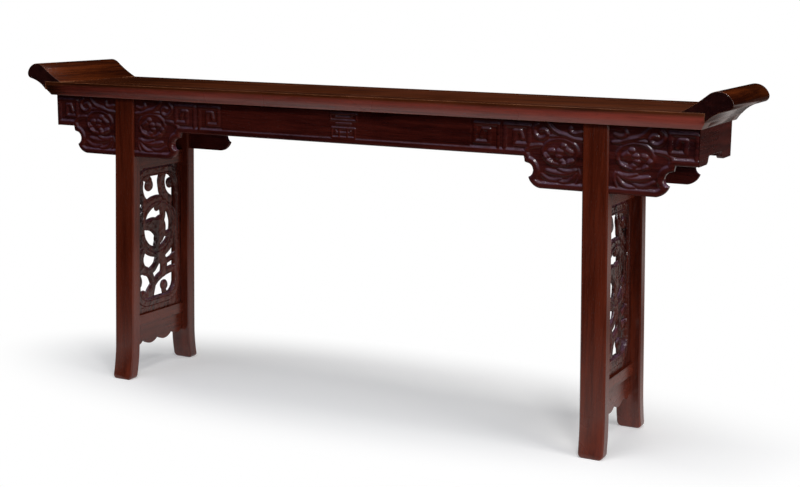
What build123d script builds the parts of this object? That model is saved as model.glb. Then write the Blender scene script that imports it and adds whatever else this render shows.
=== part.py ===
from build123d import *
import os

# Recessed-leg altar table with everted end flanges.  Millimetres, +Z up.
# The origin is on the floor at the middle of the table: +X runs along its length,
# +Y towards the back.  The table is symmetric about both vertical mid-planes.

os.makedirs("parts", exist_ok=True)

# ---------------------------------------------------------------- driving dimensions
table_height = 850          # top surface above the floor
table_depth = 334           # front arris to back arris
fit_tongue = 6              # reach of the small tongues of boards in their grooves

# top frame
rail_depth = 38             # thickness of the top's edge
rail_width = 60             # long rails, seen from above
rail_end = 960              # the long rails stop here, under the flanges
edge_upright = 9            # upright part of the moulded edge, below the arris
edge_undercut = 14          # the edge slopes in by this much to its lower arris
panel_thick = 20
panel_tongue = 10
tongue_thick = 8
tongue_drop = 8             # groove below the top surface
end_rail_inner = 900        # inner edge of the end rails
end_rail_lower = 951        # their outer face at the bottom
flange_foot = 902           # where the flange leaves the table's surface
flange_shoulder = (966, 892)    # the slope runs into the roll here: x, z
flange_crest = (1010, 894)  # the roll turns down from here
flange_tip = (1024, 876)    # outermost point of the roll
flange_lip = (1014, 858)    # lower edge of the roll
flange_throat = (984, 847)  # where the cove meets the underside of the roll
slope_hollow = (935, 869)   # a point half way up the slope, which is slightly hollow
end_tenon_width = 26        # tenons of the end rails in the long rails
end_tenon_height = 10
end_tenon_reach = 30

# battens under the panel
batten_places = (-620, -210, 210, 620)
batten_width = 44
batten_key = 5              # height of the dovetail key in the panel
batten_key_width = 34       # its width at the foot
batten_key_angle = 100      # its sides lean outwards
batten_tenon_width = 24
batten_tenon_height = 8
batten_tenon_reach = 16

# aprons and spandrels
apron_face = 137            # outer face of the aprons, from the mid-plane
apron_thick = 16
apron_low = 724
spandrel_low = 648
apron_end = 945             # outer face of the end aprons
apron_joint = 450           # where the spandrel boards meet the plain middle apron
leg_line = 700              # centre of each pair of spandrels
spandrel_flat = 145         # the lower edge of a spandrel is straight this far out
spandrel_lobe = (163, 656)  # points on the lobe: distance from the leg line, z
spandrel_tip = (175, 674)
spandrel_neck = (163, 690)  # the notch above the lobe
spandrel_cusp = (179, 708)
spandrel_step = (185, 710)
spandrel_root = 188         # the spandrel meets the apron's lower edge here
end_apron_low = 743         # the plain middle part of the end aprons
end_lobe_root = (52, end_apron_low)     # the lobe at its corners: distance from the mid-plane, z
end_lobe_hollow = (59, 738)
end_lobe_neck = (62, 731)
end_lobe_round = (68, 726)
end_lobe = 76
apron_tongue_thick = 8      # the tongue along the aprons, in the top
apron_tongue_high = 5
joint_tongue_thick = 6      # the tongue between two apron boards
joint_tongue_high = 76

# legs
leg_width = 65              # along the length of the table
leg_thick = 34
leg_face_top = 143          # outer face of the legs from the mid-plane, at the top
leg_splay_y = 8             # they stand this much further out at the floor
leg_center_top = 695.5
leg_center_floor = 716.5
foot_kick = 13              # the feet curve out by this much more
foot_start = 104            # height where that curve starts
leg_arris = 3.5             # bevel along the legs' long edges
sole_round = 12             # rounding of the sole towards both sides
leg_tenon_width = 40
leg_tenon_height = 18
cheek_gap = 1               # the tenons stand back this much from the leg's faces
leg_spare = 2               # extra length that is cut off square at both ends

# end frames
rail_thick = 27
rail_tenon_thick = 12
rail_tenon_reach = 22
rail_shoulder = 5           # the tenons are this much lower than the rails, above and below
upper_rail = (608, 646)
stretcher = (146, 178)
board_thick = 12            # openwork panel and scalloped apron
opening_low, opening_high, opening_half = 219, 580, 82
opening_corner = 36
moulding_thick = 17
moulding_width = 24
ring_place = (2, 427)       # centre of the ring in the openwork
ring_outer, ring_inner = 91, 59
tracery_grip = 2            # the openwork runs into the border by this much
scallop_root = 116          # the scalloped apron is tongued into the legs down to here
scallop_side = 98           # its lower edge at the legs
scallop_outer_lobe = (92, 86)   # points on its lobes: distance from the mid-plane, z
scallop_cusp = (68, 100)
scallop_lobe = (34, 82)
scallop_middle = 96         # height of the cusp in the middle

rail_low = table_height - rail_depth
front = table_depth / 2
rail_inner = front - rail_width
tongue_top = table_height - tongue_drop
tongue_bottom = tongue_top - tongue_thick
panel_low = table_height - panel_thick
apron_back = apron_face - apron_thick
apron_middle = apron_face - apron_thick / 2
apron_center = 0.5 * (apron_low + rail_low)
end_tenon_x = 0.5 * (end_rail_inner + end_rail_lower)
tenon_z = rail_low + 10     # middle height of the tenons of battens and end rails
key_section = (batten_key_width, batten_key, batten_key_angle)

SIDES = ((-1, "left"), (1, "right"))
FACES = ((-1, "front"), (1, "rear"))


def finish(piece, name):
    """Label a finished piece and write it to its file."""
    piece.part.label = name
    export_step(piece.part, f"parts/{name}.step")


def leg_face(height):
    """Distance of the legs' outer face from the mid-plane at a height."""
    return leg_face_top + leg_splay_y * (table_height - height) / table_height


def leg_inner(height):
    return leg_face(height) - leg_thick


def frame_plane(side):
    """Mid-plane of an end frame: local x runs to the back, local y up the legs."""
    foot = Vector(side * leg_center_floor, 0, 0)
    head = Vector(side * leg_center_top, 0, table_height)
    return Plane(origin=foot, x_dir=(0, 1, 0), z_dir=Vector(0, 1, 0).cross(head - foot))


def between_legs(low, high, extra=0):
    """Corners of a member that fits between the legs, longer by extra at each end."""
    return (
        (-leg_inner(low) - extra, low),
        (leg_inner(low) + extra, low),
        (leg_inner(high) + extra, high),
        (-leg_inner(high) - extra, high),
    )


def rail_tenons(low, high):
    """Corners of a rail between the legs with its tenons."""
    return between_legs(low + rail_shoulder, high - rail_shoulder, rail_tenon_reach)


standing = (Align.CENTER, Align.CENTER, Align.MIN)

# the two cheeks of each leg's bridle, in front of the apron and behind it: y from and to
outer_cheek = (apron_face, leg_face_top - cheek_gap)
inner_cheek = (leg_inner(rail_low) + cheek_gap, apron_back)


# ---------------------------------------------------------------- the top
# section of a long rail, with y outwards: undercut edge and flat faces
with BuildSketch() as rail_section:
    with BuildLine():
        Line((rail_inner, table_height), (front, table_height))
        Line((front, table_height), (front, table_height - edge_upright))
        ThreePointArc(
            (front, table_height - edge_upright),
            (front - 0.35 * edge_undercut, table_height - 0.62 * rail_depth),
            (front - edge_undercut, rail_low),
        )
        Polyline((front - edge_undercut, rail_low), (rail_inner, rail_low), (rail_inner, table_height))
    make_face()


# end view of the flange, x outwards: concave slope, roll and cove
with BuildSketch() as flange_outline:
    with BuildLine():
        slope = ThreePointArc((flange_foot, table_height), slope_hollow, flange_shoulder)
        crest = TangentArc(flange_shoulder, flange_crest, tangent=slope % 1)
        tip = TangentArc(flange_crest, flange_tip, tangent=crest % 1)
        lip = TangentArc(flange_tip, flange_lip, tangent=tip % 1)
        throat = TangentArc(flange_lip, flange_throat, tangent=lip % 1)
        TangentArc(flange_throat, (end_rail_lower, rail_low), tangent=throat % 1)
        Polyline((end_rail_lower, rail_low), (end_rail_inner, rail_low),
                 (end_rail_inner, table_height), (flange_foot, table_height))
    make_face()


# end rails, each carved in one with its flange, and tenoned into the long rails
for side, side_name in SIDES:
    with BuildPart() as end_rail:
        with BuildSketch(Plane.XZ):
            add(flange_outline.sketch)
        extrude(amount=front, both=True)
        # the long rails run on below the flange
        with BuildSketch(Plane.YZ.offset(end_rail_inner)):
            for face, _ in FACES:
                with Locations((face * (rail_inner + rail_width / 2), rail_low + rail_depth / 2)):
                    Rectangle(rail_width, rail_depth)
        extrude(amount=rail_end - end_rail_inner, mode=Mode.SUBTRACT)
        # tenons into the long rails, and the groove for the panel's end tongue
        with Locations((end_tenon_x, 0, tenon_z)):
            Box(end_tenon_width, 2 * (rail_inner + end_tenon_reach), end_tenon_height)
        with Locations((end_rail_inner, 0, 0.5 * (tongue_top + tongue_bottom))):
            Box(2 * panel_tongue, 2 * rail_inner, tongue_thick, mode=Mode.SUBTRACT)
        if side < 0:
            mirror(about=Plane.YZ, mode=Mode.REPLACE)
    finish(end_rail, f"{side_name}_flange_end")

# floating panel, tongued on all four sides and slotted below for the battens
with BuildPart() as top_panel:
    with Locations((0, 0, 0.5 * (table_height + panel_low))):
        Box(2 * end_rail_inner, 2 * rail_inner, panel_thick)
    with Locations((0, 0, 0.5 * (tongue_top + tongue_bottom))):
        Box(2 * (end_rail_inner + panel_tongue), 2 * (rail_inner + panel_tongue), tongue_thick)
    with BuildSketch(Plane.XZ):
        for place in batten_places:
            with Locations((place, panel_low)):
                Trapezoid(*key_section, align=(Align.CENTER, Align.MIN))
    extrude(amount=rail_inner, both=True, mode=Mode.SUBTRACT)
finish(top_panel, "top_panel")

# sliding battens with a dovetail key along their upper face
for number, place in enumerate(batten_places, start=1):
    with BuildPart() as batten:
        with BuildSketch(Plane.XZ):
            with Locations((place, rail_low)):
                Rectangle(batten_width, panel_low - rail_low, align=(Align.CENTER, Align.MIN))
            with Locations((place, panel_low)):
                Trapezoid(*key_section, align=(Align.CENTER, Align.MIN))
        extrude(amount=rail_inner, both=True)
        with Locations((place, 0, tenon_z)):
            Box(batten_tenon_width, 2 * (rail_inner + batten_tenon_reach), batten_tenon_height)
    finish(batten, f"batten_{number}")

# long rails
for face, face_name in FACES:
    with BuildPart() as rail:
        with BuildSketch(Plane.YZ):
            add(rail_section.sketch)
        extrude(amount=rail_end, both=True)
        # both ends follow the cove below the flange
        with BuildSketch(Plane.XZ):
            add(flange_outline.sketch)
            with Locations((0, rail_low)):
                Rectangle(2 * end_rail_inner, rail_depth, align=(Align.CENTER, Align.MIN))
            mirror(about=Plane.YZ)
        extrude(amount=2 * front, both=True, mode=Mode.INTERSECT)
        # groove for the panel, and mortises for battens and end rails
        with Locations((0, rail_inner, 0.5 * (tongue_top + tongue_bottom))):
            Box(2 * (end_rail_inner + panel_tongue), 2 * panel_tongue, tongue_thick, mode=Mode.SUBTRACT)
        with Locations(*[(place, rail_inner, tenon_z) for place in batten_places]):
            Box(batten_tenon_width, 2 * batten_tenon_reach, batten_tenon_height, mode=Mode.SUBTRACT)
        with Locations((-end_tenon_x, rail_inner, tenon_z), (end_tenon_x, rail_inner, tenon_z)):
            Box(end_tenon_width, 2 * end_tenon_reach, end_tenon_height, mode=Mode.SUBTRACT)
        # mortises for the two tenons at the head of each leg
        for low_y, high_y in (outer_cheek, inner_cheek):
            middle_y = 0.5 * (low_y + high_y)
            with Locations((-leg_center_top, middle_y, rail_low), (leg_center_top, middle_y, rail_low)):
                Box(leg_tenon_width, high_y - low_y, 2 * leg_tenon_height, mode=Mode.SUBTRACT)
        # groove for the tongue along the aprons
        with Locations((0, apron_middle, rail_low)):
            Box(2 * (apron_end - apron_thick), apron_tongue_thick, 2 * apron_tongue_high,
                mode=Mode.SUBTRACT)
        if face < 0:
            mirror(about=Plane.XZ, mode=Mode.REPLACE)
    finish(rail, f"{face_name}_top_rail")


# ---------------------------------------------------------------- aprons
# right spandrel board: a pair of winged spandrels about the leg, with the aprons' ends
with BuildSketch() as spandrel_outline:
    with BuildLine():
        for hand, outer in ((-1, apron_joint), (1, apron_end)):
            def at(x, z):
                return (leg_line + hand * x, z)

            Line(at(0, spandrel_low), at(spandrel_flat, spandrel_low))
            ThreePointArc(at(spandrel_flat, spandrel_low), at(*spandrel_lobe), at(*spandrel_tip))
            ThreePointArc(at(*spandrel_tip), at(*spandrel_neck), at(*spandrel_cusp))
            Polyline(at(*spandrel_cusp), at(*spandrel_step), at(spandrel_root, apron_low),
                     (outer, apron_low), (outer, rail_low))
        Line((apron_joint, rail_low), (apron_end, rail_low))
    make_face()


# end apron: a plain board with a lobe at each corner
with BuildSketch() as end_apron_outline:
    with BuildLine():
        for hand in (-1, 1):
            def across(y, z):
                return (hand * y, z)

            Line((0, end_apron_low), across(*end_lobe_root))
            ThreePointArc(across(*end_lobe_root), across(*end_lobe_hollow), across(*end_lobe_neck))
            ThreePointArc(across(*end_lobe_neck), across(*end_lobe_round), across(end_lobe, apron_low))
            Polyline(across(end_lobe, apron_low), across(apron_face, apron_low),
                     across(apron_face, rail_low), (0, rail_low))
    make_face()


for face, face_name in FACES:
    # spandrel boards, mitred at the table's ends
    for side, side_name in SIDES:
        with BuildPart() as spandrel:
            with BuildSketch(Plane.XZ.offset(-apron_back)):
                add(spandrel_outline.sketch)
            extrude(amount=-apron_thick)
            with BuildSketch(Plane.XY.offset(spandrel_low)):
                with BuildLine():
                    Polyline((apron_end, apron_face), (apron_end, apron_back),
                             (apron_end - apron_thick, apron_back), close=True)
                make_face()
            extrude(amount=table_height, mode=Mode.SUBTRACT)
            with Locations((0.5 * (apron_joint + apron_end - apron_thick), apron_middle, rail_low)):
                Box(apron_end - apron_thick - apron_joint, apron_tongue_thick, 2 * apron_tongue_high)
            with Locations((apron_joint, apron_middle, apron_center)):
                Box(2 * fit_tongue, joint_tongue_thick, joint_tongue_high, mode=Mode.SUBTRACT)
            if side < 0:
                mirror(about=Plane.YZ, mode=Mode.REPLACE)
            if face < 0:
                mirror(about=Plane.XZ, mode=Mode.REPLACE)
        finish(spandrel, f"{face_name}_{side_name}_spandrel")

    # plain middle apron
    with BuildPart() as apron:
        with Locations((0, face * apron_middle, apron_center)):
            Box(2 * apron_joint, apron_thick, rail_low - apron_low)
            Box(2 * (apron_joint + fit_tongue), joint_tongue_thick, joint_tongue_high)
        with Locations((0, face * apron_middle, rail_low)):
            Box(2 * apron_joint, apron_tongue_thick, 2 * apron_tongue_high)
    finish(apron, f"{face_name}_middle_apron")

for side, side_name in SIDES:
    with BuildPart() as end_apron:
        with BuildSketch(Plane.YZ.offset(apron_end - apron_thick)):
            add(end_apron_outline.sketch)
        extrude(amount=apron_thick)
        with BuildSketch(Plane.XY.offset(spandrel_low)):
            for face, _ in FACES:
                with BuildLine():
                    Polyline(
                        (apron_end, face * apron_face),
                        (apron_end - apron_thick, face * apron_face),
                        (apron_end - apron_thick, face * apron_back),
                        close=True,
                    )
                make_face()
        extrude(amount=table_height, mode=Mode.SUBTRACT)
        if side < 0:
            mirror(about=Plane.YZ, mode=Mode.REPLACE)
    finish(end_apron, f"{side_name}_end_apron")


# ---------------------------------------------------------------- legs
# side view of a back leg: splayed, with the foot curving out
splay = Vector(leg_splay_y, -table_height)
head = rail_low + leg_spare
with BuildSketch() as leg_outline:
    with BuildLine():
        Line((leg_inner(head), head), (leg_face(head), head))
        Line((leg_face(head), head), (leg_face(foot_start), foot_start))
        TangentArc((leg_face(foot_start), foot_start), (leg_face(0) + foot_kick, -leg_spare), tangent=splay)
        Line((leg_face(0) + foot_kick, -leg_spare), (leg_inner(0) + foot_kick, -leg_spare))
        TangentArc((leg_inner(foot_start), foot_start), (leg_inner(0) + foot_kick, -leg_spare), tangent=splay)
        Line((leg_inner(foot_start), foot_start), (leg_inner(head), head))
    make_face()


for side, side_name in SIDES:
    for face, face_name in FACES:
        with BuildPart() as leg:
            with BuildSketch(frame_plane(side)):
                add(leg_outline.sketch)
            extrude(amount=leg_width / 2, both=True)
            # flat on the floor, and square under the top
            split(bisect_by=Plane.XY, keep=Keep.TOP)
            split(bisect_by=Plane.XY.offset(rail_low), keep=Keep.BOTTOM)
            sole = leg.faces().sort_by(Axis.Z)[0].edges().sort_by(Axis.X)
            fillet((sole[0], sole[-1]), radius=sole_round)
            # the bevel of the long edges runs on round the sole
            chamfer(leg.edges().filter_by(lambda e: e.length > foot_start - 2 * sole_round), length=leg_arris)
            # bridle slot for the spandrel board
            with Locations((side * leg_line, apron_middle, spandrel_low)):
                Box(2 * leg_width, apron_thick, table_height, align=standing, mode=Mode.SUBTRACT)
            # one tenon on each cheek of the bridle
            for low_y, high_y in (outer_cheek, inner_cheek):
                with Locations((side * leg_center_top, 0.5 * (low_y + high_y), rail_low)):
                    Box(leg_tenon_width, high_y - low_y, leg_tenon_height, align=standing)
            # mortises for the rails, and the groove for the boards of the end frame
            with BuildSketch(frame_plane(side)):
                for low, high in (upper_rail, stretcher):
                    Polygon(*rail_tenons(low, high), align=None)
            extrude(amount=rail_tenon_thick / 2, both=True, mode=Mode.SUBTRACT)
            with BuildSketch(frame_plane(side)):
                Polygon(*between_legs(stretcher[1], upper_rail[0], fit_tongue), align=None)
                Polygon(*between_legs(scallop_root, stretcher[0], fit_tongue), align=None)
            extrude(amount=board_thick / 2, both=True, mode=Mode.SUBTRACT)
            if face < 0:
                mirror(about=Plane.XZ, mode=Mode.REPLACE)
        finish(leg, f"{face_name}_{side_name}_leg")


# ---------------------------------------------------------------- end frames
opening_middle = 0.5 * (opening_low + opening_high)
opening_height = opening_high - opening_low


def opening(grow=0.0, mode=Mode.ADD):
    """Rounded opening of the openwork panel, larger by grow all round."""
    with Locations((0, opening_middle)):
        RectangleRounded(
            2 * (opening_half + grow), opening_height + 2 * grow, opening_corner + grow, mode=mode
        )


def scroll(*points, width):
    """One stroke of the openwork: an arc through three points, with round ends."""
    SlotArc(ThreePointArc(*points, mode=Mode.PRIVATE), width)


def eye(x, z, radius):
    """A solid round eye at the end of a scroll."""
    with Locations((x, z)):
        Circle(radius)


# the openwork: a coiled creature in a ring, between hooked scrolls
with BuildSketch() as tracery:
    with Locations(ring_place):
        Circle(ring_outer)
        Circle(ring_inner, mode=Mode.SUBTRACT)
    scroll((-60, 488), (4, 510), (64, 482), width=22)
    # two hooks above the ring, and the strands that carry them
    scroll((-88, 562), (-58, 580), (-34, 566), width=26)
    eye(-34, 553, 18)
    scroll((-74, 562), (-74, 535), (-54, 504), width=28)
    scroll((36, 592), (24, 548), (60, 500), width=32)
    scroll((34, 588), (62, 586), (84, 552), width=26)
    eye(64, 550, 16)
    # the creature: head and crest, fore leg, body, hind leg and tail
    scroll((12, 494), (30, 470), (22, 440), width=24)
    eye(2, 482, 10)
    scroll((-58, 434), (-24, 445), (16, 432), width=24)
    scroll((-44, 436), (-12, 424), (10, 396), width=30)
    scroll((14, 440), (24, 415), (10, 392), width=40)
    scroll((24, 408), (44, 400), (64, 404), width=18)
    scroll((10, 392), (3, 374), (-4, 354), width=28)
    # strands below the ring, which open round a diamond
    scroll((-60, 366), (-75, 336), (-48, 300), width=28)
    scroll((8, 342), (-4, 314), (-40, 296), width=24)
    scroll((16, 340), (34, 314), (32, 284), width=30)
    scroll((24, 318), (54, 318), (88, 332), width=18)
    scroll((88, 388), (68, 361), (34, 340), width=16)
    # the long leaf, with an arch over its left end and a hook below its right end
    scroll((-54, 212), (-12, 260), (88, 288), width=24)
    scroll((-88, 300), (-36, 292), (-36, 214), width=24)
    scroll((-88, 296), (-80, 284), (-78, 264), width=16)
    eye(-64, 230, 15)
    scroll((34, 240), (48, 214), (88, 232), width=18)
    eye(36, 245, 16)
    opening(grow=tracery_grip, mode=Mode.INTERSECT)


# scalloped apron below the stretcher: four lobes, the outer two cut by the legs
with BuildSketch() as scallop_outline:
    with BuildLine():
        for hand in (-1, 1):
            def down(y, z):
                return (hand * y, z)

            Polyline((0, stretcher[0]), down(leg_inner(stretcher[0]) + fit_tongue, stretcher[0]),
                     down(leg_inner(scallop_root) + fit_tongue, scallop_root),
                     down(leg_inner(scallop_root), scallop_root), down(leg_inner(scallop_root), scallop_side))
            ThreePointArc(down(leg_inner(scallop_root), scallop_side), down(*scallop_outer_lobe),
                          down(*scallop_cusp))
            ThreePointArc(down(*scallop_cusp), down(*scallop_lobe), (0, scallop_middle))
    make_face()


for side, side_name in SIDES:
    for (low, high), name in ((upper_rail, "upper_rail"), (stretcher, "stretcher")):
        with BuildPart() as cross_rail:
            with BuildSketch(frame_plane(side)):
                Polygon(*between_legs(low, high), align=None)
            extrude(amount=rail_thick / 2, both=True)
            with BuildSketch(frame_plane(side)):
                Polygon(*rail_tenons(low, high), align=None)
            extrude(amount=rail_tenon_thick / 2, both=True)
        finish(cross_rail, f"{side_name}_{name}")

    with BuildPart() as openwork_panel:
        with BuildSketch(frame_plane(side)):
            Polygon(*between_legs(stretcher[1], upper_rail[0], fit_tongue), align=None)
            opening(mode=Mode.SUBTRACT)
            add(tracery.sketch)
        extrude(amount=board_thick / 2, both=True)
        # raised moulding round the opening, on both faces
        with BuildSketch(frame_plane(side)):
            opening(grow=moulding_width)
            opening(mode=Mode.SUBTRACT)
        extrude(amount=moulding_thick / 2, both=True)
    finish(openwork_panel, f"{side_name}_openwork_panel")

    with BuildPart() as scalloped_apron:
        with BuildSketch(frame_plane(side)):
            add(scallop_outline.sketch)
        extrude(amount=board_thick / 2, both=True)
    finish(scalloped_apron, f"{side_name}_scalloped_apron")
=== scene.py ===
import math

import bmesh
import bpy
import numpy as np
from mathutils import Matrix, Vector
from mathutils.geometry import delaunay_2d_cdt


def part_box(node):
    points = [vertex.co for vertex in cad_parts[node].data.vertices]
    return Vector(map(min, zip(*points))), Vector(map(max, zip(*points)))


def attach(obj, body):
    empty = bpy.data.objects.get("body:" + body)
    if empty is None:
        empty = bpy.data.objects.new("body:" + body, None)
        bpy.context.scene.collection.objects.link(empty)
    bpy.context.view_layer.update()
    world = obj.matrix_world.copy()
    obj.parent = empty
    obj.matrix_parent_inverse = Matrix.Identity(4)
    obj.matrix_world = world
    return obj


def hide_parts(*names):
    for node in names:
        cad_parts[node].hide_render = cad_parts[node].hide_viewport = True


# Dark hardwood altar table.  Metres, +Z up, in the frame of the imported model;
# reliefs are worked out in millimetres on the plane of each board.

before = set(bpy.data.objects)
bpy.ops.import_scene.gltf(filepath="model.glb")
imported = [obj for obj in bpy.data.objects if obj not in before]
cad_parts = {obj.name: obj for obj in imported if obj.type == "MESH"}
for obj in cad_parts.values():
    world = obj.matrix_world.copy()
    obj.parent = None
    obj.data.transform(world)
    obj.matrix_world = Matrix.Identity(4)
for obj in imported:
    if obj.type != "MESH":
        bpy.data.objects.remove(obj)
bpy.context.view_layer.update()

MM = 0.001

# ---------------------------------------------------------------- camera
CAMERA_PLACE = Vector((1.8113, -3.2243, 1.1133))
CAMERA_YAW = math.radians(-27.87)
CAMERA_PITCH = math.radians(-10.30)
CAMERA_ROLL = math.radians(0.48)
CAMERA_LENS = 62.5


def add_camera():
    """A camera at the height and the angle of the studio shot."""
    forward = Vector((
        math.sin(CAMERA_YAW) * math.cos(CAMERA_PITCH),
        math.cos(CAMERA_YAW) * math.cos(CAMERA_PITCH),
        math.sin(CAMERA_PITCH),
    ))
    level = Vector((math.cos(CAMERA_YAW), -math.sin(CAMERA_YAW), 0))
    above = level.cross(forward)
    right = level * math.cos(CAMERA_ROLL) + above * math.sin(CAMERA_ROLL)
    up = above * math.cos(CAMERA_ROLL) - level * math.sin(CAMERA_ROLL)
    data = bpy.data.cameras.new("camera")
    data.lens = CAMERA_LENS
    data.sensor_width = 36
    data.clip_end = 100
    camera = bpy.data.objects.new("camera", data)
    bpy.context.scene.collection.objects.link(camera)
    turn = Matrix((right, up, -forward)).transposed()
    camera.matrix_world = Matrix.Translation(CAMERA_PLACE) @ turn.to_4x4()
    bpy.context.scene.camera = camera


# ---------------------------------------------------------------- node helpers
def new_material(name):
    material = bpy.data.materials.new(name)
    material.use_nodes = True
    tree = material.node_tree
    return material, tree, tree.nodes["Principled BSDF"]


def link(tree, value, socket):
    """Connect a node's output, or set a plain value."""
    if isinstance(value, bpy.types.NodeSocket):
        tree.links.new(value, socket)
    else:
        socket.default_value = value


def math_node(tree, operation, first, second=0.0):
    node = tree.nodes.new("ShaderNodeMath")
    node.operation = operation
    link(tree, first, node.inputs[0])
    link(tree, second, node.inputs[1])
    return node.outputs[0]


def vector_node(tree, operation, first, second, output=0):
    node = tree.nodes.new("ShaderNodeVectorMath")
    node.operation = operation
    link(tree, first, node.inputs[0])
    link(tree, second, node.inputs[1])
    return node.outputs[output]


def mix_colour(tree, share, first, second):
    node = tree.nodes.new("ShaderNodeMix")
    node.data_type = "RGBA"
    link(tree, share, node.inputs["Factor"])
    link(tree, first, node.inputs[6])
    link(tree, second, node.inputs[7])
    return node.outputs[2]


def ramp(tree, value, low, high, bottom=0.0, top=1.0):
    """Map value from low..high to bottom..top, held at both ends."""
    node = tree.nodes.new("ShaderNodeMapRange")
    node.interpolation_type = "SMOOTHSTEP"
    for name, amount in (("From Min", low), ("From Max", high), ("To Min", bottom), ("To Max", top)):
        node.inputs[name].default_value = amount
    link(tree, value, node.inputs["Value"])
    return node.outputs["Result"]


def noise(tree, place, scale, stretch=(1, 1, 1), detail=4.0, rough=0.5, distortion=0.0, seed=0.0):
    """Noise in the model's own coordinates, stretched by different scales along X, Y and Z."""
    mapping = tree.nodes.new("ShaderNodeMapping")
    mapping.inputs["Location"].default_value = (seed, 1.7 * seed, 2.3 * seed)
    mapping.inputs["Scale"].default_value = stretch
    link(tree, place, mapping.inputs["Vector"])
    node = tree.nodes.new("ShaderNodeTexNoise")
    node.inputs["Scale"].default_value = scale
    node.inputs["Detail"].default_value = detail
    node.inputs["Roughness"].default_value = rough
    node.inputs["Distortion"].default_value = distortion
    link(tree, mapping.outputs["Vector"], node.inputs["Vector"])
    return node.outputs["Fac"]


def object_place(tree):
    return tree.nodes.new("ShaderNodeTexCoord").outputs["Object"]


# ---------------------------------------------------------------- wood
GRAIN = {"x": (0.5, 9, 9), "y": (9, 0.5, 9), "z": (9, 9, 0.5)}
WEAR_AND_HIGHLIGHT_WIDTH = 0.0022         # how far the lighter edge tone, wear with a painted highlight, reaches from a sharp edge


def edge_wear_and_highlight(tree, place, seed):
    """1 along the sharp edges, broken up, 0 on the faces: wear together with a painted highlight on the
    arrises.
    """
    bevel = tree.nodes.new("ShaderNodeBevel")
    bevel.samples = 6
    bevel.inputs["Radius"].default_value = WEAR_AND_HIGHLIGHT_WIDTH
    normal = tree.nodes.new("ShaderNodeNewGeometry").outputs["Normal"]
    agree = vector_node(tree, "DOT_PRODUCT", bevel.outputs["Normal"], normal, "Value")
    patchy = noise(tree, place, 22.0, detail=3, seed=seed)
    edge = ramp(tree, agree, 0.995, 0.93)
    return math_node(tree, "MULTIPLY", edge, ramp(tree, patchy, 0.35, 0.6, 0.35, 1.0))


def along_axis(tree, place, axis):
    return vector_node(tree, "DOT_PRODUCT", place, axis, "Value")


def facing(tree, axis):
    return along_axis(tree, tree.nodes.new("ShaderNodeNewGeometry").outputs["Normal"], axis)


def rail_front(tree, place):
    """1 on the moulded edge of a long rail below its upper corner, 0 at the rail's far left end. The tone
    laid there is partly the wood's own lighter colour and partly a painted pink reflection of the floor; it
    fades out at the left end as painted shade.
    """
    upright = ramp(tree, math_node(tree, "ABSOLUTE", facing(tree, (0, 1, 0))), 0.45, 0.7)
    lower = ramp(tree, along_axis(tree, place, (0, 0, 1)), 0.836, 0.846, 1.0, 0.0)
    inward = ramp(tree, along_axis(tree, place, (1, 0, 0)), -0.95, -0.86)
    return math_node(tree, "MULTIPLY", math_node(tree, "MULTIPLY", upright, lower), inward)


def end_grain(tree, place):
    """1 where a flange ends in front and at the rear. There the colour is darkened and turned purple as
    painted shade with a dull painted reflection.
    """
    return ramp(tree, math_node(tree, "ABSOLUTE", facing(tree, (0, 1, 0))), 0.7, 0.9)


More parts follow.
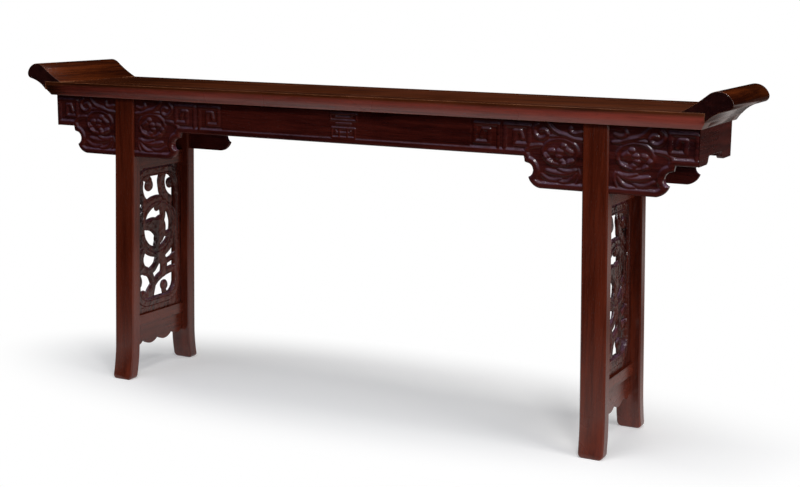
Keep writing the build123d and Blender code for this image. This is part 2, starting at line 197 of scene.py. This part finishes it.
def wood(name, dark, light, axis, gloss, seed, specular=0.5, wear_and_highlight=None, other=None, upward_sheen=None, gouged=0.0):
    """Oiled dark hardwood: long streaks, short pores, polished and dull places, edges lighter from wear and
    a painted highlight.

    Carved wood has a painted purple sheen on its upward slopes and keeps the marks of the gouge.
    """
    material, tree, shader = new_material(name)
    place = object_place(tree)
    stretch = GRAIN[axis]
    streaks = noise(tree, place, 4.0, stretch, detail=8, rough=0.62, distortion=0.6, seed=seed)
    fine = noise(tree, place, 26.0, stretch, detail=6, rough=0.7, seed=seed + 3)
    pores = noise(tree, place, 90.0, stretch, detail=3, rough=0.6, seed=seed + 7)
    patches = noise(tree, place, 3.0, detail=4, seed=seed + 11)
    streaks = math_node(tree, "MULTIPLY", streaks, 0.5)
    blend = math_node(tree, "ADD", streaks, math_node(tree, "MULTIPLY", fine, 0.3))
    blend = math_node(tree, "ADD", blend, math_node(tree, "MULTIPLY", patches, 0.2))
    figure = ramp(tree, blend, 0.38, 0.62)
    colour = mix_colour(tree, figure, (*dark, 1), (*light, 1))
    if other:
        mask, other_dark, other_light = other
        other_colour = mix_colour(tree, figure, (*other_dark, 1), (*other_light, 1))
        colour = mix_colour(tree, mask(tree, place), colour, other_colour)
    pore = ramp(tree, pores, 0.60, 0.68)
    in_pores = (*[0.35 * part for part in dark], 1)
    colour = mix_colour(tree, math_node(tree, "MULTIPLY", pore, 0.5), colour, in_pores)
    # painted reflection: a purple sheen on upward-facing slopes, broken into patches
    if upward_sheen:
        sheen_colour, least_slope = upward_sheen
        upward = ramp(tree, facing(tree, (0, 0, 1)), least_slope, 0.85)
        sheen_patches = ramp(tree, noise(tree, place, 30.0, detail=3, seed=seed + 19), 0.35, 0.6, 0.35, 1.0)
        colour = mix_colour(tree, math_node(tree, "MULTIPLY", upward, sheen_patches), colour, (*sheen_colour, 1))
    # sharp edges made lighter: wear together with a painted highlight on the arrises
    if wear_and_highlight:
        colour = mix_colour(tree, edge_wear_and_highlight(tree, place, seed + 17), colour, (*wear_and_highlight, 1))
    link(tree, colour, shader.inputs["Base Color"])
    dull = ramp(tree, patches, 0.3, 0.7, gloss - 0.05, gloss + 0.07)
    roughness = math_node(tree, "ADD", dull, math_node(tree, "MULTIPLY", pore, 0.12))
    link(tree, roughness, shader.inputs["Roughness"])
    shader.inputs["Specular IOR Level"].default_value = specular
    if upward_sheen:
        # the polish has worn thin on the undersides of the carving
        polish = ramp(tree, facing(tree, (0, 0, 1)), -0.4, 0.0, 0.15 * specular, specular)
        link(tree, polish, shader.inputs["Specular IOR Level"])
    bump = tree.nodes.new("ShaderNodeBump")
    bump.inputs["Strength"].default_value = 0.22
    bump.inputs["Distance"].default_value = 0.0004
    relief = math_node(tree, "SUBTRACT", math_node(tree, "MULTIPLY", fine, 0.5), pore)
    link(tree, relief, bump.inputs["Height"])
    if gouged:
        marks = tree.nodes.new("ShaderNodeBump")
        marks.inputs["Strength"].default_value = gouged
        marks.inputs["Distance"].default_value = 0.003
        dents = noise(tree, place, 60.0, detail=2, rough=0.4, distortion=0.8, seed=seed + 23)
        link(tree, dents, marks.inputs["Height"])
        link(tree, marks.outputs["Normal"], bump.inputs["Normal"])
    link(tree, bump.outputs["Normal"], shader.inputs["Normal"])
    return material


# ---------------------------------------------------------------- boards in relief
WELD = 1e-6
GRID_STEP = 1.5             # spacing of the points of a carved face, in mm
RIM_STEP = 1.2              # and along its edges
TINY = 1e-12
SAME_PLACE = 1e-6           # places of a board that are nearer than this, in mm, are one
INNER_MARGIN = 0.6          # grid points keep off the outline by this share of their spacing


class Board:
    """A flat board: places on it are (across, up) in mm, heights stand out of its plane."""

    def __init__(self, origin, across, up):
        self.origin = Vector(origin)
        self.across = Vector(across).normalized()
        self.up = Vector(up).normalized()
        self.out = self.across.cross(self.up)

    def section(self, node, height):
        """Closed outlines of a CAD node where a plane at this height cuts it, longest first."""
        work = bmesh.new()
        work.from_mesh(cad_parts[node].data)
        bmesh.ops.remove_doubles(work, verts=work.verts, dist=WELD)
        bmesh.ops.bisect_plane(
            work, geom=[*work.verts, *work.edges, *work.faces],
            plane_co=self.origin + height * MM * self.out, plane_no=self.out,
            clear_inner=True, clear_outer=True,
        )
        bmesh.ops.remove_doubles(work, verts=work.verts, dist=WELD)
        seen = set()
        loops = []
        for first in work.verts:
            loop = []
            here, came = first, None
            while here not in seen:
                seen.add(here)
                offset = here.co - self.origin
                loop.append((offset.dot(self.across) / MM, offset.dot(self.up) / MM))
                came = next(edge for edge in here.link_edges if edge != came)
                here = came.other_vert(here)
            if loop:
                loops.append(np.array(loop))
        work.free()
        return sorted(loops, key=lambda loop: -np.ptp(loop[:, 1]))

    def solid(self, places, heights):
        """Points in space of places on the board at the given heights."""
        return MM * (
            np.array(self.origin) / MM
            + places[:, :1] * np.array(self.across)
            + places[:, 1:] * np.array(self.up)
            + np.reshape(heights, (-1, 1)) * np.array(self.out)
        )


def pieces_of(path, closed=False):
    """The straight pieces of a path, as pairs of ends."""
    path = np.asarray(path, float)
    pieces = np.stack([path, np.roll(path, -1, axis=0)], axis=1)
    return pieces if closed else pieces[:-1]


def refined(loop):
    """A closed outline with points no further apart than RIM_STEP."""
    parts = []
    for start, end in pieces_of(loop, closed=True):
        count = max(1, math.ceil(np.linalg.norm(end - start) / RIM_STEP))
        parts.append(start + np.outer(np.arange(count) / count, end - start))
    return np.vstack(parts)


def is_inside(places, loops):
    """Which places lie inside an odd number of the outlines."""
    odd = np.zeros(len(places), bool)
    for loop in loops:
        for (x0, y0), (x1, y1) in pieces_of(loop, closed=True):
            if y0 != y1:
                rows = (places[:, 1] > min(y0, y1)) & (places[:, 1] <= max(y0, y1))
                crossing = x0 + (places[rows, 1] - y0) * (x1 - x0) / (y1 - y0)
                odd[rows] ^= places[rows, 0] < crossing
    return odd


def within(places, pieces, reach, above=1.0, below=1.0):
    """For each straight piece in turn, the places within reach and how far from it they are.

    The upward part of the distance counts above times, the downward part below times.
    """
    order = np.argsort(places[:, 0], kind="stable")
    ordered = places[order, 0]
    span = reach / min(above, below, 1)
    for start, end in pieces:
        low = np.minimum(start, end) - span
        high = np.maximum(start, end) + span
        near = order[slice(*np.searchsorted(ordered, (low[0], high[0])))]
        near = near[(places[near, 1] > low[1]) & (places[near, 1] < high[1])]
        along = end - start
        offset = places[near] - start
        share = np.clip(offset @ along / max(along @ along, TINY), 0, 1)
        away = offset - np.outer(share, along)
        away[:, 1] *= np.where(away[:, 1] > 0, above, below)
        yield near, np.linalg.norm(away, axis=1)


def distance(places, pieces, reach):
    """Distance of each place from the nearest of some straight pieces, at most reach."""
    found = np.full(len(places), float(reach))
    for near, away in within(places, pieces, reach):
        found[near] = np.minimum(found[near], away)
    return found


def filled(loops, step):
    """Places and triangles that fill the outlines, and the places' numbers along each."""
    rims = [refined(loop) for loop in loops]
    inner = np.empty((0, 2))
    if step:
        outline = np.vstack(loops)
        limits = zip(outline.min(axis=0), outline.max(axis=0))
        columns, rows = (np.arange(low + step / 2, high, step) for low, high in limits)
        inner = np.stack(np.meshgrid(columns, rows), axis=-1).reshape(-1, 2)
        inner = inner[is_inside(inner, loops)]
        walls = np.vstack([pieces_of(loop, closed=True) for loop in loops])
        inner = inner[distance(inner, walls, step) > INNER_MARGIN * step]
    ends = np.cumsum([len(rim) for rim in rims])
    numbers = [np.arange(end - len(rim), end) for rim, end in zip(rims, ends)]
    edges = [pair for order in numbers for pair in zip(order.tolist(), np.roll(order, -1).tolist())]
    places = np.vstack([*rims, inner])
    points = [Vector(point) for point in places.tolist()]
    found, _, triangles, sources, _, _ = delaunay_2d_cdt(points, edges, [], 0, SAME_PLACE)
    number_now = {source: number for number, group in enumerate(sources) for source in group}
    places = np.array([tuple(point) for point in found])
    triangles = np.array(triangles)
    triangles = triangles[is_inside(places[triangles].mean(axis=1), loops)]
    orders = [np.array([number_now[number] for number in order.tolist()]) for order in numbers]
    return places, triangles, orders


def smooth_mesh(name, vertices, faces):
    mesh = bpy.data.meshes.new(name)
    mesh.from_pydata(vertices.tolist(), [], [face.tolist() for face in faces])
    work = bmesh.new()
    work.from_mesh(mesh)
    bmesh.ops.recalc_face_normals(work, faces=work.faces)
    work.to_mesh(mesh)
    work.free()
    mesh.shade_smooth()
    return mesh


def carved_board(node, board, loops, front, back, material, trim=lambda vertices: vertices):
    """Replace a CAD board by one whose front follows a relief; a flat back is given as a number."""
    faces = []
    vertices = []
    count = 0
    walls = []
    for relief, sign in ((front, 1), (back, -1)):
        flat = not callable(relief)
        places, triangles, orders = filled(loops, 0 if flat else GRID_STEP)
        heights = np.full(len(places), relief) if flat else relief(places)
        face = board.solid(places, sign * heights)
        vertices.append(face)
        faces += list(triangles[:, ::sign] + count)
        count += len(face)
        walls.append([face[order] for order in orders])
    for upper, lower in zip(*walls):
        here = count + np.arange(len(upper))
        after = np.roll(here, -1)
        faces += list(np.stack([here, here + len(upper), after + len(upper), after], axis=1))
        vertices += [upper, lower]
        count += 2 * len(upper)
    name = f"carved_{node}"
    mesh = smooth_mesh(name, trim(np.vstack(vertices)), faces)
    mesh.materials.append(material)
    piece = bpy.data.objects.new(name, mesh)
    bpy.context.scene.collection.objects.link(piece)
    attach(piece, "root")
    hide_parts(node)


# ---------------------------------------------------------------- carved strokes
def smooth_step(value, low, high):
    share = np.clip((value - low) / (high - low), 0, 1)
    return share * share * (3 - 2 * share)


def rounded_off(gap, radius):
    """How far a rounded edge has dropped, from radius at the edge to 0 at that distance."""
    return radius - np.sqrt(radius ** 2 - (radius - np.clip(gap, 0, radius)) ** 2)


def bent(points, rounds=3):
    """Cut the corners of an open path a few times, so that it runs in smooth curves."""
    path = np.array(points, float)
    for _ in range(rounds):
        start, end = path[:-1], path[1:]
        cut = np.stack([0.75 * start + 0.25 * end, 0.25 * start + 0.75 * end], axis=1)
        path = np.vstack([path[:1], cut.reshape(-1, 2), path[-1:]])
    return path


def oval(center, radii):
    turns = np.radians(np.arange(0, 361, 7.5))
    return np.array(center) + np.stack([np.cos(turns), np.sin(turns)], axis=1) * radii


UPPER_SLOPE = 0.9           # a stroke reaches further up than down, so its upper side is gentle
LOWER_SLOPE = 1.2


def raised(places, strokes, flatness=2.0, ends=1.0):
    """Height of rounded strokes (path, half width, height).

    More flatness levels their tops; their ends are narrowed and lowered to a share.
    """
    height = np.zeros(len(places))
    for path, half, top in strokes:
        pieces = pieces_of(path)
        middle = (np.arange(len(pieces)) + 0.5) / len(pieces)
        swell = ends + (1 - ends) * np.sin(np.pi * middle) ** 0.7
        for share, (near, away) in zip(swell, within(places, pieces, half, UPPER_SLOPE, LOWER_SLOPE)):
            gap = np.minimum(away / (half * share), 1)
            height[near] = np.maximum(height[near], top * share * (1 - gap ** flatness))
    return height


def cushion(places, center, radii, top):
    """Height of a low oval dome."""
    gap = np.linalg.norm((places - center) / radii, axis=1)
    return top * (1 - np.minimum(gap, 1) ** 3)


# ---------------------------------------------------------------- front and rear aprons
SECTION_DEPTH = 1           # an apron's outline is taken this far behind its face
EDGE_REACH = 20             # distances from an outline are worked out up to here
ON_SIDE = 0.2               # a point this near to a straight side lies on it
LEG_LINE = 700              # the spandrel's carving is mirrored about this line
LEG_HALF = 32.5             # the leg covers the board this far to each side
GROUND = -4.0               # the carved ground below the board's face
EDGE_ROUND = 6.0            # the free lower edge is rounded
BORDER = 12.0               # a border follows it and slopes to the ground
BORDER_SLOPE = 7.0
CARVE_MARGIN = 6.0          # no stroke comes nearer than this to the free edge

# one half of a spandrel: distance from the leg line, height above the floor
SPANDREL_FRET = (
    (188, 731), (238, 731), (238, 796), (175, 796), (175, 751),
    (212, 751), (212, 783), (198, 783), (192, 766),
)
FRET_FLATNESS = 2.5
SPANDREL_FRET_STROKES = [(SPANDREL_FRET, 7, 3.8)]
SPANDREL_CURLS = (
    (
        ((140, 752), (157, 750), (172, 747), (182, 738), (181, 724), (168, 712), (158, 702), (154, 692)),
        8, 3.9,
    ),
    (
        ((152, 802), (163, 793), (160, 777), (147, 767), (131, 770), (126, 781), (135, 791), (146, 787)),
        7, 4.0,
    ),
    (((126, 806), (113, 790), (99, 782), (76, 777), (57, 770), (36, 769)), 7.5, 4.2),
    (((120, 774), (101, 775), (82, 776), (60, 765)), 6, 3.2),
    (((68, 798), (70, 788), (58, 782), (40, 788)), 7, 3.6),
    (((128, 692), (104, 686), (74, 686), (52, 697)), 8.5, 4.2),
    (((98, 698), (80, 691), (60, 694)), 7, 3.8),
    (((52, 690), (60, 674), (78, 665), (94, 667)), 7, 3.4),
    (((90, 674), (104, 668), (124, 670), (140, 682)), 7, 2.0),
    (((46, 700), (42, 682), (52, 662)), 5, 2.2),
)
SPANDREL_KNOBS = (
    ((97, 739), (91, 739)), ((118, 738), (112, 739)), ((99, 727), (95, 728)), ((70, 715), (63, 717)),
    ((122, 716), (117, 713)), ((86, 752), (83, 752)), ((90, 716), (84, 712)), ((76, 744), (66, 738)),
    ((129, 728), (127, 726)),
)
KNOB = (8.5, 3.4)
ROUNDEL_CENTER = (93, 738)
ROUNDEL_RADII = (44, 31.5)
CUSHION_RADII = (53, 40)
CUSHION_TOP = 2.2
SPANDREL_STROKES = [(bent(path), half, top) for path, half, top in SPANDREL_CURLS]
CURL_ENDS = 0.5             # the curls narrow to this share at their ends
KNOB_STROKES = [(path, *KNOB) for path in SPANDREL_KNOBS]
ROUNDEL_RIM = [(oval(ROUNDEL_CENTER, ROUNDEL_RADII), 6.0, 2.2)]

# one end of the middle apron: distance from the table's middle, height
APRON_FRET = ((446, 731), (446, 796), (382, 796), (382, 751), (420, 751), (420, 783), (404, 783), (400, 767))
APRON_FRET_STROKES = [(APRON_FRET, 6.5, 3.8)]
FIELD_END = 370             # between the frets the apron is plain
FIELD_SLOPE = (9, 18)       # its field sinks between these distances from the free edge
FIELD_SHARE = 0.5           # to half the depth of the carved ground

# a plain geometric fret in the middle of the apron, mirrored about its own axis
MEDALLION_X = 10
MEDALLION = (
    ((0, 801), (38, 801), (38, 784), (0, 784)),
    ((0, 792), (24, 792), (24, 797)),
    ((0, 776), (22, 776)),
    ((0, 764), (34, 764), (34, 740), (0, 740)),
    ((0, 752), (22, 752), (22, 757)),
    ((12, 764), (12, 740)),
)
MEDALLION_STROKES = [(path, 3.2, 2.4) for path in MEDALLION]
MEDALLION_FLATNESS = 3


def outward_board(node):
    """The vertical plane of a front or rear board's outer face, and which way it looks."""
    low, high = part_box(node)
    outward = -1 if node.startswith("front") else 1
    face = low.y if outward < 0 else high.y
    return Board((0, face, 0), (-outward, 0, 0), (0, 0, 1)), outward


def free_edge(loop):
    """The pieces of an apron's outline that are neither its top nor its two ends."""
    (left, _), (right, top) = loop.min(axis=0), loop.max(axis=0)
    pieces = pieces_of(loop, closed=True)
    sides = ((0, left), (0, right), (1, top))
    fixed = [(np.abs(pieces[:, :, axis] - side) < ON_SIDE).all(axis=1) for axis, side in sides]
    return pieces[~np.any(fixed, axis=0)]


def edge_relief(gap):
    """The board's face near its free edge: rounded, level, then sloping to the sunk ground."""
    return GROUND * smooth_step(gap, BORDER, BORDER + BORDER_SLOPE) - rounded_off(gap, EDGE_ROUND)


def spandrel(node):
    board, outward = outward_board(node)
    side = -1 if "left" in node else 1
    loops = board.section(node, -SECTION_DEPTH)
    low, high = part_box(node)
    board_end = max(abs(low.x), abs(high.x))

    def front(places):
        along = np.abs(np.abs(places[:, 0]) - LEG_LINE)
        place = np.stack([along, places[:, 1]], axis=1)
        gap = distance(places, free_edge(loops[0]), EDGE_REACH)
        edge = edge_relief(gap)
        curls = raised(place, SPANDREL_STROKES, ends=CURL_ENDS)
        fret = raised(place, SPANDREL_FRET_STROKES, FRET_FLATNESS)
        roundel = cushion(place, ROUNDEL_CENTER, CUSHION_RADII, CUSHION_TOP) + raised(place, ROUNDEL_RIM)
        roundel += raised(place, KNOB_STROKES)
        carving = np.maximum(np.maximum(curls, fret), roundel)
        height = np.where(gap < CARVE_MARGIN, edge, np.maximum(edge, GROUND + carving))
        return np.where(along < LEG_HALF, np.minimum(height, 0), height)

    def trim(vertices):
        # the far end is mitred with the end apron
        depth = abs(board.origin.y) - outward * vertices[:, 1]
        vertices[:, 0] = side * np.minimum(side * vertices[:, 0], board_end - np.maximum(depth, 0))
        return vertices

    carved_board(node, board, loops, front, (high.y - low.y) / MM, deep_x, trim)


def middle_apron(node):
    board, outward = outward_board(node)
    loops = board.section(node, -SECTION_DEPTH)
    low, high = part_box(node)

    def front(places):
        from_middle = np.abs(places[:, 0])
        place = np.stack([from_middle, places[:, 1]], axis=1)
        gap = distance(places, free_edge(loops[0]), EDGE_REACH)
        edge = edge_relief(gap)
        field = FIELD_SHARE * GROUND * smooth_step(gap, *FIELD_SLOPE)
        field = np.where(from_middle < FIELD_END, field, GROUND)
        medal = np.stack([np.abs(-outward * places[:, 0] - MEDALLION_X), places[:, 1]], axis=1)
        fret = GROUND + raised(place, APRON_FRET_STROKES, FRET_FLATNESS)
        motif = raised(medal, MEDALLION_STROKES, MEDALLION_FLATNESS)
        carving = np.maximum(fret, np.where(motif > 0, FIELD_SHARE * GROUND + motif, GROUND))
        return np.where(gap < CARVE_MARGIN, edge, np.maximum(np.maximum(edge, field), carving))

    carved_board(node, board, loops, front, (high.y - low.y) / MM, carved_x)


# ---------------------------------------------------------------- openwork panels
TABLE_HEIGHT = 850          # height of the top's surface and the legs' line there and on the floor
LEG_LINE_FLOOR = 716.5
LEG_LINE_TOP = 695.5
PANEL_HALF = 6.0
MOULDING_HALF = 8.5
CUT_DEPTH = 0.5             # the panel's outlines are taken this far inside its faces
STRAND_ROUND = 9.5
STRAND_DROP = 0.45          # share by which a strand's edge is rounded off
VEIN = 4.5                  # a vein runs along each strand this far inside its edge
VEIN_DEPTH = 1.5
VEIN_HALF = 1.8
SCALLOP = 6.5               # shallow hollows left by the gouge
SCALLOP_DEPTH = 0.7
RING_CENTER = (2, 427)
RING_GROOVE = 75            # radius of a groove that runs round the ring
RING_DEPTH = 1.8
RING_HALF = 2.4
MOULDING_EDGES = ((0.8, 3.0), (0.9, 2.4))   # share and radius of its outer and inner rounding
BEAD = 6.5                  # a groove follows the opening at this distance
BEAD_DEPTH = 1.5
BEAD_HALF = 2.0


def groove(gap, half, depth):
    """Depth of a groove at this distance from its middle line."""
    return depth * (1 - smooth_step(gap, 0, half))


def openwork_panel(node):
    side = -1 if "left" in node else 1
    lean = (LEG_LINE_FLOOR - LEG_LINE_TOP) / TABLE_HEIGHT
    board = Board((side * LEG_LINE_FLOOR * MM, 0, 0), (0, 1, 0), (-side * lean, 0, 1))
    loops = board.section(node, PANEL_HALF - CUT_DEPTH)
    outer, inner = board.section(node, MOULDING_HALF - CUT_DEPTH)
    holes = np.vstack([pieces_of(loop, closed=True) for loop in loops[1:]])

    def relief(places):
        free = distance(places, holes, EDGE_REACH)
        outside = distance(places, pieces_of(outer, closed=True), EDGE_REACH)
        opening = distance(places, pieces_of(inner, closed=True), EDGE_REACH)
        ring = np.abs(np.linalg.norm(places - RING_CENTER, axis=1) - RING_GROOVE)
        carved = PANEL_HALF - STRAND_DROP * rounded_off(free, STRAND_ROUND)
        carved -= groove(np.abs(free - VEIN), VEIN_HALF, VEIN_DEPTH)
        carved -= SCALLOP_DEPTH * (1 + np.sin(places[:, 0] / SCALLOP) * np.sin(places[:, 1] / SCALLOP))
        carved -= groove(ring, RING_HALF, RING_DEPTH)
        border = np.full(len(places), MOULDING_HALF)
        for gap, (share, radius) in zip((outside, opening), MOULDING_EDGES):
            border -= share * rounded_off(gap, radius)
        border -= groove(np.abs(opening - BEAD), BEAD_HALF, BEAD_DEPTH)
        sunk = is_inside(places, [inner])
        on_moulding = is_inside(places, [outer]) & ~sunk
        return np.where(on_moulding, border, np.where(sunk, carved, PANEL_HALF))

    carved_board(node, board, loops, relief, relief, carved_z)


# ---------------------------------------------------------------- dressing the CAD nodes
TOP_DARK = (0.020, 0.0045, 0.0018)
TOP_LIGHT = (0.100, 0.021, 0.0045)
FLANGE_DARK = (0.020, 0.0035, 0.0014)
FLANGE_LIGHT = (0.105, 0.020, 0.0040)
# the flange's end faces: painted shade with a dull purple painted reflection
END_DARK = (0.012, 0.0025, 0.0024)
END_LIGHT = (0.036, 0.0075, 0.0060)
# the rail's moulded edge: lighter wood with a painted pink reflection of the floor
EDGE_DARK = (0.14, 0.022, 0.014)
EDGE_LIGHT = (0.33, 0.056, 0.036)
LEG_DARK = (0.058, 0.0080, 0.0030)
LEG_LIGHT = (0.140, 0.0215, 0.0080)
CARVED_DARK = (0.026, 0.0034, 0.0028)
CARVED_LIGHT = (0.096, 0.0140, 0.0090)
OPENWORK_DARK = (0.014, 0.0020, 0.0018)
OPENWORK_LIGHT = (0.120, 0.0200, 0.0100)
BATTEN_DARK = (0.05, 0.02, 0.01)
BATTEN_LIGHT = (0.12, 0.05, 0.025)
# painted reflection of the bluish light from above, laid on the carving's upward slopes
SHEEN_COLOUR = (0.135, 0.068, 0.105)
PAINTED_SHEEN = (SHEEN_COLOUR, 0.05)              # with the slope that it starts at
WIDE_PAINTED_SHEEN = (SHEEN_COLOUR, -0.12)
# lighter tone on sharp edges: wear together with a painted highlight along the arrises
WEAR_AND_HIGHLIGHT = (0.42, 0.17, 0.08)

top_x = wood("top wood", TOP_DARK, TOP_LIGHT, "x", gloss=0.30, seed=1, specular=0.2, wear_and_highlight=WEAR_AND_HIGHLIGHT)
# lighter, pinker rail edge: the wood's own tone plus a painted reflection of the floor, with painted shade
# at the far left end
edge_tone_and_painted_sheen = (rail_front, EDGE_DARK, EDGE_LIGHT)
# the end faces get painted shade with a dull purple painted reflection
end_face_painted_shade = (end_grain, END_DARK, END_LIGHT)
rail_x = wood("edge wood", TOP_DARK, TOP_LIGHT, "x", gloss=0.24, seed=1, wear_and_highlight=WEAR_AND_HIGHLIGHT, other=edge_tone_and_painted_sheen)
top_y = wood("end wood", FLANGE_DARK, FLANGE_LIGHT, "y", gloss=0.17, seed=2, wear_and_highlight=WEAR_AND_HIGHLIGHT, other=end_face_painted_shade)
leg_z = wood("leg wood", LEG_DARK, LEG_LIGHT, "z", gloss=0.22, seed=3)
leg_y = wood("rail wood", LEG_DARK, LEG_LIGHT, "y", gloss=0.24, seed=4)
carved_x = wood("carved wood", CARVED_DARK, CARVED_LIGHT, "x", gloss=0.17, seed=5, upward_sheen=PAINTED_SHEEN, gouged=0.25)
deep_x = wood(
    "deep carving", CARVED_DARK, CARVED_LIGHT, "x", gloss=0.17, seed=5, upward_sheen=WIDE_PAINTED_SHEEN, gouged=0.25
)
carved_y = wood("carved end wood", CARVED_DARK, CARVED_LIGHT, "y", gloss=0.26, seed=6, specular=0.25)
carved_z = wood(
    "openwork wood", OPENWORK_DARK, OPENWORK_LIGHT, "z", gloss=0.19, seed=7, upward_sheen=PAINTED_SHEEN, gouged=0.9
)
plain_y = wood("batten wood", BATTEN_DARK, BATTEN_LIGHT, "y", gloss=0.6, seed=8)

WOODS = {
    "top_panel": top_x,
    "top_rail": rail_x,
    "flange_end": top_y,
    "batten": plain_y,
    "leg": leg_z,
    "upper_rail": leg_y,
    "stretcher": leg_y,
    "scalloped_apron": leg_y,
    "end_apron": carved_y,
    "openwork_panel": carved_z,
    "middle_apron": carved_x,
    "spandrel": deep_x,
}
CARVERS = {"spandrel": spandrel, "middle_apron": middle_apron, "openwork_panel": openwork_panel}
EASED = 0.0012              # the radius of an ordinary edge
EASED_FROM = math.radians(28)
FLAT_WITHIN = math.radians(0.5)     # CAD faces that meet at less than this are one


def listed(table, node):
    """The entry of a table whose name the node's name contains."""
    return next((entry for part, entry in table.items() if part in node), None)


def ease_edges(piece):
    """Join the CAD faces and round their sharp edges a little."""
    weld = piece.modifiers.new("weld", "WELD")
    weld.merge_threshold = WELD
    flat = piece.modifiers.new("flat", "DECIMATE")
    flat.decimate_type = "DISSOLVE"
    flat.angle_limit = FLAT_WITHIN
    bevel = piece.modifiers.new("eased", "BEVEL")
    bevel.width = EASED
    bevel.segments = 2
    bevel.limit_method = "ANGLE"
    bevel.angle_limit = EASED_FROM
    bevel.harden_normals = True


def dress():
    for node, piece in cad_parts.items():
        piece.data.materials.clear()
        piece.data.materials.append(listed(WOODS, node))
        carve = listed(CARVERS, node)
        if carve:
            carve(node)
        else:
            ease_edges(piece)


# ---------------------------------------------------------------- studio
FLOOR_SIZE = 30
FLOOR_MIDDLE = (0.05, 0.05, 0)
FLOOR_SHAPE = (0.6, 1.5, 0)     # the lit floor is wider than it is deep
FLOOR_NEAR = 0.40           # lit floor up to here, then it fades to plain white
FLOOR_FAR = 0.85
GLOW_SHAPE = (0.75, 1, 0)   # what the wood reflects of the floor round the table
GLOW_NEAR = 0.5
GLOW_FAR = 1.6
GLOW = 0.75
REAR_GLOW = 0.55            # and of the floor behind it, up to the dark end of the studio
GLOW_COLOUR = (1, 0.90, 0.86, 1)
FLOOR_LIFT = 0.21           # light that the wide studio adds to the floor
SCREEN_DIRECTION = (0.2, -0.58, 0.79)
SCREEN_LIGHT = 0.7
LAMP_COLOUR = (1, 1, 1)
LAMP_AIM = Vector((0, 0, 0.4))
LAMPS = (                       # name, place, width, depth, power
    ("overhead", (0.4, -0.1, 3.6), 2.4, 0.7, 64),
    ("front", (1.8, -2.0, 2.8), 0.5, 0.5, 26),
    ("side", (3.4, -0.6, 1.6), 1.4, 1.4, 40),
)


def camera_share(tree, seen, other):
    """One shader for what the camera sees directly, another for all else."""
    mix = tree.nodes.new("ShaderNodeMixShader")
    path = tree.nodes.new("ShaderNodeLightPath")
    tree.links.new(path.outputs["Is Camera Ray"], mix.inputs["Fac"])
    tree.links.new(other.outputs[0], mix.inputs[1])
    tree.links.new(seen.outputs[0], mix.inputs[2])
    return mix


def reach_from_middle(tree, place, shape):
    """Distance from the middle, in which each direction counts by its share in shape."""
    counted = vector_node(tree, "MULTIPLY", place, shape)
    return vector_node(tree, "LENGTH", counted, (0, 0, 0), "Value")


def floor_material():
    """White and lit near the table, plain white to the camera further off."""
    material, tree, near = new_material("floor")
    near.inputs["Base Color"].default_value = (0.90, 0.89, 0.86, 1)
    near.inputs["Roughness"].default_value = 0.7
    near.inputs["Specular IOR Level"].default_value = 0.1
    near.inputs["Emission Color"].default_value = (1, 1, 1, 1)
    near.inputs["Emission Strength"].default_value = FLOOR_LIFT
    white = tree.nodes.new("ShaderNodeEmission")
    other = tree.nodes.new("ShaderNodeEmission")
    other.inputs["Color"].default_value = GLOW_COLOUR
    place = vector_node(tree, "SUBTRACT", object_place(tree), FLOOR_MIDDLE)
    to_rear = along_axis(tree, place, (0, 1, 0))
    behind = ramp(tree, to_rear, 0.4, 2.6, 0.0, REAR_GLOW)
    behind = math_node(tree, "MULTIPLY", behind, ramp(tree, to_rear, 3.2, 4.8, 1.0, 0.04))
    around = ramp(tree, reach_from_middle(tree, place, GLOW_SHAPE), GLOW_NEAR, GLOW_FAR, GLOW, 0.0)
    link(tree, math_node(tree, "ADD", around, behind), other.inputs["Strength"])
    reach = reach_from_middle(tree, place, FLOOR_SHAPE)
    mix = tree.nodes.new("ShaderNodeMixShader")
    tree.links.new(ramp(tree, reach, FLOOR_NEAR, FLOOR_FAR), mix.inputs["Fac"])
    tree.links.new(near.outputs[0], mix.inputs[1])
    tree.links.new(camera_share(tree, white, other).outputs[0], mix.inputs[2])
    tree.links.new(mix.outputs[0], tree.nodes["Material Output"].inputs["Surface"])
    return material


def add_floor():
    corners = [(x * FLOOR_SIZE, y * FLOOR_SIZE, 0) for x, y in ((-1, -1), (1, -1), (1, 1), (-1, 1))]
    mesh = bpy.data.meshes.new("floor")
    mesh.from_pydata(corners, [], [(0, 1, 2, 3)])
    mesh.materials.append(floor_material())
    floor = bpy.data.objects.new("floor", mesh)
    bpy.context.scene.collection.objects.link(floor)


def add_room():
    """White to the camera; otherwise dark but for a wide soft screen above the front."""
    world = bpy.data.worlds.new("studio")
    bpy.context.scene.world = world
    world.use_nodes = True
    tree = world.node_tree
    tree.nodes.clear()
    seen = tree.nodes.new("ShaderNodeBackground")
    seen.inputs["Color"].default_value = (1, 1, 1, 1)
    room = tree.nodes.new("ShaderNodeBackground")
    room.inputs["Color"].default_value = (0.78, 0.84, 1, 1)
    direction = tree.nodes.new("ShaderNodeTexCoord").outputs["Generated"]
    toward = along_axis(tree, direction, SCREEN_DIRECTION)
    link(tree, ramp(tree, toward, 0.5, 0.95, 0.0, SCREEN_LIGHT), room.inputs["Strength"])
    output = tree.nodes.new("ShaderNodeOutputWorld")
    tree.links.new(camera_share(tree, seen, room).outputs[0], output.inputs["Surface"])


def add_lamp(name, place, width, depth, power):
    data = bpy.data.lights.new(name, "AREA")
    data.shape = "RECTANGLE"
    data.size = width
    data.size_y = depth
    data.energy = power
    data.color = LAMP_COLOUR
    lamp = bpy.data.objects.new(name, data)
    bpy.context.scene.collection.objects.link(lamp)
    lamp.location = place
    lamp.rotation_mode = "QUATERNION"
    lamp.rotation_quaternion = (LAMP_AIM - Vector(place)).to_track_quat("-Z", "Y")


add_camera()
add_floor()
add_room()
for lamp_values in LAMPS:
    add_lamp(*lamp_values)
dress()
bpy.context.scene.view_settings.view_transform = "Standard"
